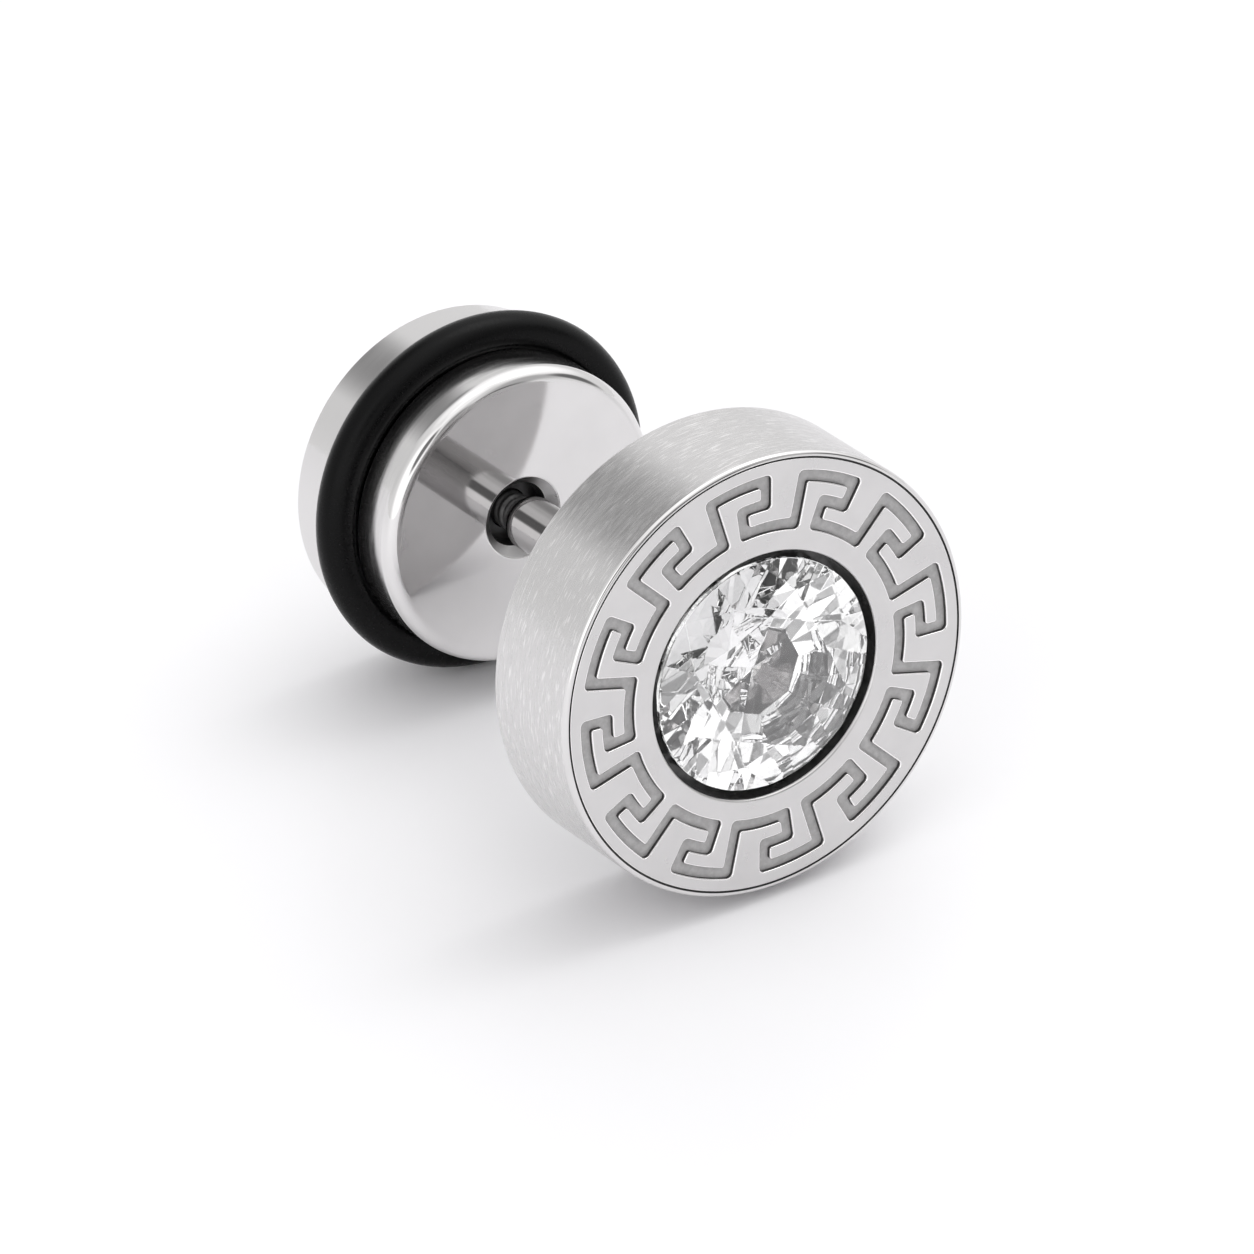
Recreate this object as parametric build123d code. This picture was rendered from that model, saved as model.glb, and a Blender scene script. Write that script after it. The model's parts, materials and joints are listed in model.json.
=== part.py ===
from build123d import *
import math
import os

# Stud earring of the tunnel-look kind: a thick round front disc with a cut stone and an etched meander,
# a straight post, and a round back with a rubber ring that screws onto the post's thin threaded tip.
# All sizes are in millimetres. Every piece is modelled round one axis, the post's, whose local Z runs
# from the centre of the disc's front face (Z = 0) towards the back. The finished set is then tilted
# and set down as it rests by itself on a table, with the front towards -Y.

# Stone
STONE_RADIUS = 2.61
CROWN_HEIGHT = 0.48
GIRDLE_THICKNESS = 0.12
PAVILION_DEPTH = 1.75
TABLE_RADIUS = 1.5
CULET_RADIUS = 0.12
STONE_INSET = 0.19
STONE_SIDES = 8
STAR_SHARE = 0.5
LOWER_TIP_SHARE = 0.23

# Front disc
DISC_RADIUS = 5.0
DISC_FLOOR = 0.61
DISC_EDGE_CHAMFER = 0.08
STONE_RING_GAP = 0.19
POCKET_RIM_CHAMFER = 0.08
SEAT_LEDGE_WIDTH = 0.3

# Meander on the face, as shares of the bare land between the stone's pocket and the disc's edge
KEY_UNITS = 12
KEY_OUTER_MARGIN_SHARE = 0.168
KEY_INNER_MARGIN_SHARE = 0.191
KEY_STROKE_SHARE = 0.122
KEY_BAR_SHARE = 0.595
KEY_HOOK_SHARE = 0.288
KEY_OUTER_CORNER_SHARE = 0.46
KEY_INNER_CORNER_SHARE = 0.24
KEY_PHASE = 14.0
KEY_DEPTH = 0.1

# Post
POST_RADIUS = 0.6
POST_LENGTH = 6.32
POST_NOSE_ROUNDING = 0.45
FOOT_STEP = 0.18
SOCKET_DEPTH = 0.33
TIP_RADIUS = 0.42
TIP_CHAMFER = 0.08

# Screw-on back
SHOULDER_GAP = 0.37
HUB_RADIUS = 3.4
HUB_LENGTH = 1.25
HUB_ROUNDING = 0.32
FLANGE_RADIUS = 3.71
FLANGE_THICKNESS = 1.03
FLANGE_CHAMFER = 0.06
BACK_END_WALL = 0.6
COUNTERBORE_RADIUS = 0.72
COUNTERBORE_DEPTH = 0.6
COUNTERBORE_CHAMFER = 0.22

# Rubber ring
RING_TUBE_RADIUS = 0.454
RING_SEAT_DEPTH = 0.234

# Clearances
PIECE_GAP = 0.02
THREAD_CLEARANCE = 0.03
TIP_END_CLEARANCE = 0.1

# How near to its computed place an edge or corner has to be for a rounding or chamfer to find it
FINDING_DISTANCE = 0.005

# Stations along the axis
TABLE_Z = STONE_INSET - CROWN_HEIGHT
GIRDLE_FRONT_Z = STONE_INSET
GIRDLE_BACK_Z = GIRDLE_FRONT_Z + GIRDLE_THICKNESS
CULET_Z = GIRDLE_BACK_Z + PAVILION_DEPTH
POCKET_FLOOR_Z = CULET_Z + PIECE_GAP
DISC_BACK_Z = POCKET_FLOOR_Z + DISC_FLOOR
POST_FOOT_Z = DISC_BACK_Z - SOCKET_DEPTH + PIECE_GAP
POST_START_Z = DISC_BACK_Z + PIECE_GAP
STRAIGHT_END_Z = DISC_BACK_Z + POST_LENGTH
NOSE_CENTRE_RADIUS = POST_RADIUS - POST_NOSE_ROUNDING
NOSE_REACH = math.sqrt(POST_NOSE_ROUNDING**2 - (TIP_RADIUS - NOSE_CENTRE_RADIUS)**2)
POST_END_Z = STRAIGHT_END_Z + NOSE_REACH
HUB_FACE_Z = STRAIGHT_END_Z + SHOULDER_GAP
GROOVE_WIDTH = 2 * (RING_TUBE_RADIUS + PIECE_GAP)
GROOVE_FRONT_Z = HUB_FACE_Z + HUB_LENGTH
FLANGE_FRONT_Z = GROOVE_FRONT_Z + GROOVE_WIDTH
BACK_END_Z = FLANGE_FRONT_Z + FLANGE_THICKNESS
RING_CENTRE_Z = GROOVE_FRONT_Z + GROOVE_WIDTH / 2
COUNTERBORE_FLOOR_Z = HUB_FACE_Z + COUNTERBORE_DEPTH
THREAD_FLOOR_Z = BACK_END_Z - BACK_END_WALL

# The back can be tightened until the end of the post's nose meets the counterbore's floor
TIGHTEN_TRAVEL = COUNTERBORE_FLOOR_Z - POST_END_Z - PIECE_GAP
TIP_END_Z = THREAD_FLOOR_Z - TIGHTEN_TRAVEL - TIP_END_CLEARANCE

# Radii that follow from the pieces they fit
POCKET_RADIUS = STONE_RADIUS + STONE_RING_GAP
POCKET_RIM_RADIUS = POCKET_RADIUS + POCKET_RIM_CHAMFER
SEAT_RADIUS = STONE_RADIUS - SEAT_LEDGE_WIDTH
GROOVE_RADIUS = HUB_RADIUS - RING_SEAT_DEPTH
RING_CENTRE_RADIUS = GROOVE_RADIUS + PIECE_GAP + RING_TUBE_RADIUS
FOOT_RADIUS = POST_RADIUS - FOOT_STEP
SOCKET_RADIUS = FOOT_RADIUS + PIECE_GAP
THREAD_BORE_RADIUS = TIP_RADIUS + THREAD_CLEARANCE

# Stone facets
FACET_STEP = 360 / STONE_SIDES
HALF_STEP = FACET_STEP / 2
TABLE_FLAT_RADIUS = TABLE_RADIUS * math.cos(math.radians(HALF_STEP))
STAR_TIP_RADIUS = TABLE_FLAT_RADIUS + STAR_SHARE * (STONE_RADIUS - TABLE_FLAT_RADIUS)
LOWER_TIP_RADIUS = CULET_RADIUS + LOWER_TIP_SHARE * (STONE_RADIUS - CULET_RADIUS)
CROWN_SLOPE = CROWN_HEIGHT / (STONE_RADIUS - TABLE_RADIUS)
PAVILION_SLOPE = PAVILION_DEPTH / (STONE_RADIUS - CULET_RADIUS)

# Meander rows and columns
LAND_WIDTH = DISC_RADIUS - DISC_EDGE_CHAMFER - POCKET_RIM_RADIUS
KEY_STROKE = LAND_WIDTH * KEY_STROKE_SHARE
KEY_OUTER_ROW = DISC_RADIUS - DISC_EDGE_CHAMFER - LAND_WIDTH * KEY_OUTER_MARGIN_SHARE - KEY_STROKE / 2
KEY_INNER_ROW = POCKET_RIM_RADIUS + LAND_WIDTH * KEY_INNER_MARGIN_SHARE + KEY_STROKE / 2
KEY_MIDDLE_ROW = (KEY_OUTER_ROW + KEY_INNER_ROW) / 2
KEY_UNIT_ANGLE = 360 / KEY_UNITS


def polar_point(radius, angle, z):
    """A point at a radius and an angle in degrees round the axis."""
    turn = math.radians(angle)
    return Vector(radius * math.cos(turn), radius * math.sin(turn), z)


def facet_plane(first, second, third):
    """The plane through three corners of a facet, with its normal away from the stone's axis."""
    normal = (second - first).cross(third - first).normalized()
    middle = (first + second + third) / 3
    outward = Vector(middle.X, middle.Y, 0)
    if normal.dot(outward) < 0:
        normal = -normal
    return Plane(origin=middle, z_dir=normal)


def crown_planes():
    """The star, kite and upper girdle facets between the table and the girdle."""
    planes = []
    star_tip_z = GIRDLE_FRONT_Z - CROWN_SLOPE * (
        STONE_RADIUS - STAR_TIP_RADIUS * math.cos(math.radians(HALF_STEP))
    )
    for side in range(STONE_SIDES):
        angle = side * FACET_STEP
        table_corner = polar_point(TABLE_RADIUS, angle, TABLE_Z)
        next_corner = polar_point(TABLE_RADIUS, angle + FACET_STEP, TABLE_Z)
        star_tip = polar_point(STAR_TIP_RADIUS, angle + HALF_STEP, star_tip_z)
        star_tip_before = polar_point(STAR_TIP_RADIUS, angle - HALF_STEP, star_tip_z)
        girdle_main = polar_point(STONE_RADIUS, angle, GIRDLE_FRONT_Z)
        girdle_after = polar_point(STONE_RADIUS, angle + HALF_STEP, GIRDLE_FRONT_Z)
        girdle_before = polar_point(STONE_RADIUS, angle - HALF_STEP, GIRDLE_FRONT_Z)
        planes.append(facet_plane(table_corner, star_tip, star_tip_before))
        planes.append(facet_plane(table_corner, next_corner, star_tip))
        planes.append(facet_plane(girdle_main, girdle_after, star_tip))
        planes.append(facet_plane(girdle_main, girdle_before, star_tip_before))
    return planes


def pavilion_planes():
    """The main and lower girdle facets between the girdle and the culet."""
    planes = []
    tip_z = GIRDLE_BACK_Z + PAVILION_SLOPE * (
        STONE_RADIUS - LOWER_TIP_RADIUS * math.cos(math.radians(HALF_STEP))
    )
    for side in range(STONE_SIDES):
        angle = side * FACET_STEP
        girdle_main = polar_point(STONE_RADIUS, angle, GIRDLE_BACK_Z)
        girdle_after = polar_point(STONE_RADIUS, angle + HALF_STEP, GIRDLE_BACK_Z)
        girdle_before = polar_point(STONE_RADIUS, angle - HALF_STEP, GIRDLE_BACK_Z)
        tip_after = polar_point(LOWER_TIP_RADIUS, angle + HALF_STEP, tip_z)
        tip_before = polar_point(LOWER_TIP_RADIUS, angle - HALF_STEP, tip_z)
        planes.append(facet_plane(girdle_main, tip_after, tip_before))
        planes.append(facet_plane(girdle_main, girdle_after, tip_after))
        planes.append(facet_plane(girdle_main, girdle_before, tip_before))
    return planes


def make_stone():
    """A round brilliant cut: a cylinder between table and culet, cut by each facet's plane."""
    blank_height = CULET_Z - TABLE_Z
    stone = Pos(0, 0, TABLE_Z) * Cylinder(
        STONE_RADIUS, blank_height, align=(Align.CENTER, Align.CENTER, Align.MIN)
    )
    for plane in crown_planes() + pavilion_planes():
        stone = split(stone, bisect_by=plane, keep=Keep.BOTTOM)
    return stone


def revolved(points):
    """A solid of revolution round the axis from a closed outline of (radius, z) points."""
    outline = Polyline(*[(radius, 0, z) for radius, z in points], close=True)
    return revolve(make_face(outline), Axis.Z)


def edges_at(solid, radius, z):
    """The circular edges of a turned solid at one radius and one station."""
    return [
        edge
        for edge in solid.edges().filter_by(GeomType.CIRCLE)
        if abs(edge.radius - radius) < FINDING_DISTANCE and abs(edge.arc_center.Z - z) < FINDING_DISTANCE
    ]


def stone_pocket():
    """What is cut out of the disc for the stone: a straight wall, a ledge and a cone under the pavilion."""
    ridge_bulge = LOWER_TIP_RADIUS * (1 - math.cos(math.radians(HALF_STEP))) * PAVILION_SLOPE
    cone_start = GIRDLE_BACK_Z + ridge_bulge + PIECE_GAP
    ledge_z = cone_start + (STONE_RADIUS - SEAT_RADIUS) * PAVILION_SLOPE
    floor_radius = STONE_RADIUS - (POCKET_FLOOR_Z - cone_start) / PAVILION_SLOPE
    return revolved([
        (0, 0),
        (POCKET_RIM_RADIUS, 0),
        (POCKET_RADIUS, POCKET_RIM_CHAMFER),
        (POCKET_RADIUS, ledge_z),
        (SEAT_RADIUS, ledge_z),
        (floor_radius, POCKET_FLOOR_Z),
        (0, POCKET_FLOOR_Z),
    ])


def key_corner(spoke_angle, row_radius, sideways):
    """Where a line beside a spoke, at a distance sideways from its middle, meets a row's circle."""
    along = math.sqrt(row_radius**2 - sideways**2)
    turn = math.radians(spoke_angle)
    return Vector(
        along * math.cos(turn) - sideways * math.sin(turn),
        along * math.sin(turn) + sideways * math.cos(turn),
    )


def key_edge_corners(side):
    """The corners of one edge of the meander channel, in order round the disc.

    The channel's middle line goes out along a long spoke, on along the outer row, in along a first
    hook, back along the middle row, in along a second hook, and on along the inner row to the next
    unit's long spoke. side is +1 for the edge on the left of that path and -1 for the right one.
    """
    half = side * KEY_STROKE / 2
    corners = []
    for unit in range(KEY_UNITS):
        long_spoke = unit * KEY_UNIT_ANGLE - KEY_PHASE
        first_hook = long_spoke + KEY_BAR_SHARE * KEY_UNIT_ANGLE
        second_hook = first_hook - KEY_HOOK_SHARE * KEY_UNIT_ANGLE
        next_spoke = long_spoke + KEY_UNIT_ANGLE
        corners += [
            key_corner(long_spoke, KEY_OUTER_ROW - half, half),
            key_corner(first_hook, KEY_OUTER_ROW - half, -half),
            key_corner(first_hook, KEY_MIDDLE_ROW + half, -half),
            key_corner(second_hook, KEY_MIDDLE_ROW + half, -half),
            key_corner(second_hook, KEY_INNER_ROW - half, -half),
            key_corner(next_spoke, KEY_INNER_ROW - half, half),
        ]
    return corners


def row_arc(start, end):
    """The arc round the axis between two points at one radius."""
    middle = (start + end).normalized() * start.length
    return ThreePointArc(start, middle, end)


def key_face(side):
    """The area inside one edge of the channel, with its corners rounded.

    In each unit the path turns three times to the left and then three times to the right, so an
    edge's corners are inside the bend in one half of each unit and outside it in the other.
    """
    corners = key_edge_corners(side)
    count = len(corners)
    edges = []
    for index in range(count):
        start = corners[index]
        end = corners[(index + 1) % count]
        if index % 2 == 0:
            edges.append(row_arc(start, end))
        else:
            edges.append(Line(start, end))
    face = make_face(Wire(edges))
    outside = KEY_STROKE * KEY_OUTER_CORNER_SHARE
    inside = KEY_STROKE * KEY_INNER_CORNER_SHARE
    left_turns = [corners[index] for index in range(count) if index % 6 < 3]
    right_turns = [corners[index] for index in range(count) if index % 6 >= 3]
    face = rounded_corners(face, left_turns, inside if side > 0 else outside)
    return rounded_corners(face, right_turns, outside if side > 0 else inside)


def rounded_corners(face, places, radius):
    """The face with those of its corners that lie at the places rounded."""
    chosen = [
        vertex
        for vertex in face.vertices()
        if any((vertex.center() - place).length < FINDING_DISTANCE for place in places)
    ]
    return fillet(chosen, radius)


def key_channel():
    """What the meander takes out of the face: one closed channel of even depth."""
    outer = extrude(key_face(-1), KEY_DEPTH)
    inner = extrude(key_face(1), KEY_DEPTH)
    return outer - inner


def make_front_disc():
    """The front disc with its stone pocket, its etched meander and a blind socket for the post."""
    disc = Cylinder(DISC_RADIUS, DISC_BACK_Z, align=(Align.CENTER, Align.CENTER, Align.MIN))
    rims = edges_at(disc, DISC_RADIUS, 0) + edges_at(disc, DISC_RADIUS, DISC_BACK_Z)
    disc = chamfer(rims, DISC_EDGE_CHAMFER)
    socket = Pos(0, 0, DISC_BACK_Z) * Cylinder(
        SOCKET_RADIUS, SOCKET_DEPTH, align=(Align.CENTER, Align.CENTER, Align.MAX)
    )
    return disc - stone_pocket() - key_channel() - socket


def make_post():
    """The post: a foot fixed in the disc, a straight shaft with a round nose, and the thin tip that the
    back screws onto, which comes out of the nose."""
    nose_end_z = STRAIGHT_END_Z + POST_NOSE_ROUNDING
    shaft = revolved([
        (0, POST_FOOT_Z),
        (FOOT_RADIUS, POST_FOOT_Z),
        (FOOT_RADIUS, POST_START_Z),
        (POST_RADIUS, POST_START_Z),
        (POST_RADIUS, nose_end_z),
        (0, nose_end_z),
    ])
    shaft = fillet(edges_at(shaft, POST_RADIUS, nose_end_z), POST_NOSE_ROUNDING)
    tip = revolved([
        (0, STRAIGHT_END_Z),
        (TIP_RADIUS, STRAIGHT_END_Z),
        (TIP_RADIUS, TIP_END_Z - TIP_CHAMFER),
        (TIP_RADIUS - TIP_CHAMFER, TIP_END_Z),
        (0, TIP_END_Z),
    ])
    return shaft + tip


def make_screw_back():
    """The back: a polished hub, a groove for the rubber ring, a flange, and the countersunk, stepped
    blind hole."""
    back = revolved([
        (0, HUB_FACE_Z),
        (HUB_RADIUS, HUB_FACE_Z),
        (HUB_RADIUS, GROOVE_FRONT_Z),
        (GROOVE_RADIUS, GROOVE_FRONT_Z),
        (GROOVE_RADIUS, FLANGE_FRONT_Z),
        (FLANGE_RADIUS, FLANGE_FRONT_Z),
        (FLANGE_RADIUS, BACK_END_Z),
        (0, BACK_END_Z),
    ])
    back = fillet(edges_at(back, HUB_RADIUS, HUB_FACE_Z), HUB_ROUNDING)
    flange_edges = edges_at(back, FLANGE_RADIUS, FLANGE_FRONT_Z) + edges_at(back, FLANGE_RADIUS, BACK_END_Z)
    back = chamfer(flange_edges, FLANGE_CHAMFER)
    hole = revolved([
        (0, HUB_FACE_Z),
        (COUNTERBORE_RADIUS + COUNTERBORE_CHAMFER, HUB_FACE_Z),
        (COUNTERBORE_RADIUS, HUB_FACE_Z + COUNTERBORE_CHAMFER),
        (COUNTERBORE_RADIUS, COUNTERBORE_FLOOR_Z),
        (THREAD_BORE_RADIUS, COUNTERBORE_FLOOR_Z),
        (THREAD_BORE_RADIUS, THREAD_FLOOR_Z),
        (0, THREAD_FLOOR_Z),
    ])
    return back - hole


def make_o_ring():
    """The rubber ring in the back's groove."""
    return Pos(0, 0, RING_CENTRE_Z) * Torus(RING_CENTRE_RADIUS, RING_TUBE_RADIUS)


def resting_tilt():
    """How far the axis slopes down to the back, in degrees, when the set lies on a table.

    It lies on the back edge of the front disc and on whichever meets the table first as the back
    comes down: the rubber ring or the flange's rear edge.
    """
    disc_foot_z = DISC_BACK_Z - DISC_EDGE_CHAMFER
    ring_run = RING_CENTRE_Z - disc_foot_z
    ring_drop = DISC_RADIUS - RING_CENTRE_RADIUS
    ring_angle = math.atan2(ring_drop, ring_run) - math.asin(RING_TUBE_RADIUS / math.hypot(ring_run, ring_drop))
    flange_run = BACK_END_Z - FLANGE_CHAMFER - disc_foot_z
    flange_angle = math.atan2(DISC_RADIUS - FLANGE_RADIUS, flange_run)
    return math.degrees(min(ring_angle, flange_angle))


def set_down(pieces):
    """The pieces tilted as they rest, centred over the origin and standing on Z = 0."""
    tilt = math.radians(resting_tilt())
    axis_plane = Plane(
        origin=(0, 0, 0),
        x_dir=(1, 0, 0),
        z_dir=(0, math.cos(tilt), -math.sin(tilt)),
    )
    tilted = {name: axis_plane.location * piece for name, piece in pieces.items()}
    box = Compound(list(tilted.values())).bounding_box()
    shift = Pos(-box.center().X, -box.center().Y, -box.min.Z)
    return {name: shift * piece for name, piece in tilted.items()}


earring = {
    "front_disc": make_front_disc(),
    "stone": make_stone(),
    "post": make_post(),
    "screw_back": make_screw_back(),
    "o_ring": make_o_ring(),
}
os.makedirs("parts", exist_ok=True)
for name, piece in set_down(earring).items():
    export_step(piece, f"parts/{name}.step")
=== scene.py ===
import json
import math

import bmesh
import bpy
from mathutils import Matrix, Vector
from mathutils.geometry import tessellate_polygon


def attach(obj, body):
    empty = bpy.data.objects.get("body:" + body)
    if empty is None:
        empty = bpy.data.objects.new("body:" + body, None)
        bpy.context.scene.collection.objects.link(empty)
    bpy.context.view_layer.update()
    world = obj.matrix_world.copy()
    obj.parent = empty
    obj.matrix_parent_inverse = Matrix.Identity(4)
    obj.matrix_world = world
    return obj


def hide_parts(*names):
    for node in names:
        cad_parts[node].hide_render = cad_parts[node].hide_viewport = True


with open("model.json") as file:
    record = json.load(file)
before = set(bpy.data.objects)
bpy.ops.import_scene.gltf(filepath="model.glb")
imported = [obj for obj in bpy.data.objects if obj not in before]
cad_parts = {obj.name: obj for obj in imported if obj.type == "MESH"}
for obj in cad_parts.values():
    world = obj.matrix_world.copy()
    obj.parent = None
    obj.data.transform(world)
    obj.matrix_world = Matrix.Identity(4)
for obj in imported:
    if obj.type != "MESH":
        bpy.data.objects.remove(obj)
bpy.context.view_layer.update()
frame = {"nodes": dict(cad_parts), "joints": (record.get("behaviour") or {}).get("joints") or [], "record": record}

# Stud earring: a brushed disc with an etched meander and a cut stone, a polished post, and a
# polished screw-on back with a rubber ring. Every piece is built round the post's axis. Radii and
# stations along the axis are in millimetres, with station 0 at the disc's front face, and the
# pieces stand in a frame whose Z is that axis, whose X is the row's X, and whose Y points down.
MM = 0.001

# Sizes that repeat the CAD source's values or follow from them
DISC_CHAMFER = 0.08
POCKET_CHAMFER = 0.08
POCKET_RADIUS = 2.8
POCKET_LEDGE = 0.578
SEAT_RADIUS = 2.31
POCKET_FLOOR_RADIUS = 0.173
SOCKET_DEPTH = 0.33
GAP = 0.02
FOOT_STEP = 0.18
POST_LENGTH = 6.32
POST_NOSE_RADIUS = 0.45
TIP_RADIUS = 0.42
TIP_CHAMFER = 0.08
HUB_RADIUS = 3.4
HUB_LENGTH = 1.25
HUB_ROUNDING = 0.32
GROOVE_DEPTH = 0.234
GROOVE_WIDTH = 0.948
BORE_RADIUS = 0.45
BORE_END_WALL = 0.6
COUNTERBORE_RADIUS = 0.72
COUNTERBORE_DEPTH = 0.6
COUNTERBORE_CHAMFER = 0.22

# Meander, its radial sizes as shares of the bare land, as in the CAD source
KEY_UNITS = 12
KEY_OUTER_MARGIN = 0.168
KEY_INNER_MARGIN = 0.191
KEY_STROKE = 0.122
KEY_BAR = 0.595
KEY_HOOK = 0.288
KEY_OUTER_CORNER = 0.46
KEY_INNER_CORNER = 0.24
KEY_PHASE = 14.0
KEY_DEPTH = 0.1

# Stone
STONE_SIDES = 8
CROWN_HEIGHT = 0.36
GIRDLE_THICKNESS = 0.1
TABLE_RADIUS = 1.5
STAR_SHARE = 0.5
FACET_EDGE = 0.012
# the pavilion's rows of facets from the girdle to the culet: how many, turned by how many steps,
# and the radius and the station below the girdle's back at which each row ends
PAVILION_ROWS = [
    (16, 0.0, 1.95, 0.62),
    (16, 0.5, 1.0, 1.47),
    (8, 0.0, 0.1, 1.86),
]
POCKET_SPACE = 0.04

# Fine detail of the visual model
EDGE_ROUNDING = 0.1
BACK_EDGE_ROUNDING = 0.06
LINE_RADIUS = 4.872
LINE_WIDTH = 0.044
LINE_DEPTH = 0.04
LINE_LIP = 0.012
FLANGE_ROUNDING = 0.05
RIM_ROUNDING = 0.06
SINK_ROUNDING = 0.05
LIP_WIDTH = 0.03
LIP_DEPTH = 0.025
THREAD_PITCH = 0.2
THREAD_DEPTH = 0.07
PARTING_LINE = 0.006

# How finely round things are divided: pieces round the axis, roundings by degrees, the meander's
# corners, arcs and lips, a thread's turn, the rubber ring's tube and the stone's blank
DISC_SEGMENTS = 288
BACK_SEGMENTS = 240
THREAD_SEGMENTS = 48
ARC_STEP_DEGREES = 9
ARC_LEAST_STEPS = 3
CORNER_STEPS = 6
ROW_STEPS = 10
LIP_STEPS = 4
THREAD_TURN_STEPS = 10
TUBE_STEPS = 56
BLANK_SEGMENTS = 128

# Decimals of a millimetre to which points and rings are rounded, so that those in one place meet
POINT_DECIMALS = 6
RING_DECIMALS = 5

# The range in which most of the noise lies
NOISE_LOW = 0.35
NOISE_HIGH = 0.65


# The earring's own axis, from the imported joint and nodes
axis = Vector(frame["joints"][0]["axis"]).normalized()
axis_point = Vector(frame["record"]["mounts"][0]["pos_m"])


def reach(node):
    """A CAD node's lowest and highest station along the axis and its largest radius, in metres."""
    stations = []
    radii = []
    for vertex in frame["nodes"][node].data.vertices:
        offset = vertex.co - axis_point
        station = offset.dot(axis)
        stations.append(station)
        radii.append((offset - axis * station).length)
    return min(stations), max(stations), max(radii)


disc_front_station = reach("front_disc")[0]
face_centre = axis_point + axis * disc_front_station


def stations_mm(node):
    """A CAD node's first and last station from the disc's face and its largest radius."""
    first, last, radius = reach(node)
    return (
        round((first - disc_front_station) / MM, 3),
        round((last - disc_front_station) / MM, 3),
        round(radius / MM, 3),
    )


_, DISC_BACK, DISC_RADIUS = stations_mm("front_disc")
TABLE, CULET, STONE_RADIUS = stations_mm("stone")
POST_FOOT, TIP_END, POST_RADIUS = stations_mm("post")
HUB_FACE, BACK_END, FLANGE_RADIUS = stations_mm("screw_back")
RING_FRONT, RING_BACK, RING_OUTER = stations_mm("o_ring")

RIM_RADIUS = POCKET_RADIUS + POCKET_CHAMFER
FACE_RADIUS = DISC_RADIUS - DISC_CHAMFER
LINE_INSIDE = LINE_RADIUS - LINE_WIDTH / 2
LINE_OUTSIDE = LINE_RADIUS + LINE_WIDTH / 2
LAND_EDGE = LINE_INSIDE - 2 * LINE_LIP
POCKET_FLOOR = CULET + GAP
GIRDLE_FRONT = TABLE + CROWN_HEIGHT
GIRDLE_BACK = GIRDLE_FRONT + GIRDLE_THICKNESS
FOOT_RADIUS = POST_RADIUS - FOOT_STEP
SOCKET_RADIUS = FOOT_RADIUS + GAP
SOCKET_END = DISC_BACK - SOCKET_DEPTH
POST_START = DISC_BACK + GAP
POST_STRAIGHT_END = DISC_BACK + POST_LENGTH
RING_TUBE = (RING_BACK - RING_FRONT) / 2
RING_RADIUS = RING_OUTER - RING_TUBE
GROOVE_RADIUS = HUB_RADIUS - GROOVE_DEPTH
GROOVE_FRONT = HUB_FACE + HUB_LENGTH
FLANGE_FRONT = GROOVE_FRONT + GROOVE_WIDTH
BORE_END = BACK_END - BORE_END_WALL

down = axis.cross(Vector((1, 0, 0)))
axis_frame = Matrix.Translation(face_centre) @ Matrix((
    (1, 0, 0),
    (0, down.y, axis.y),
    (0, down.z, axis.z),
)).to_4x4()


# Materials

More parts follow.
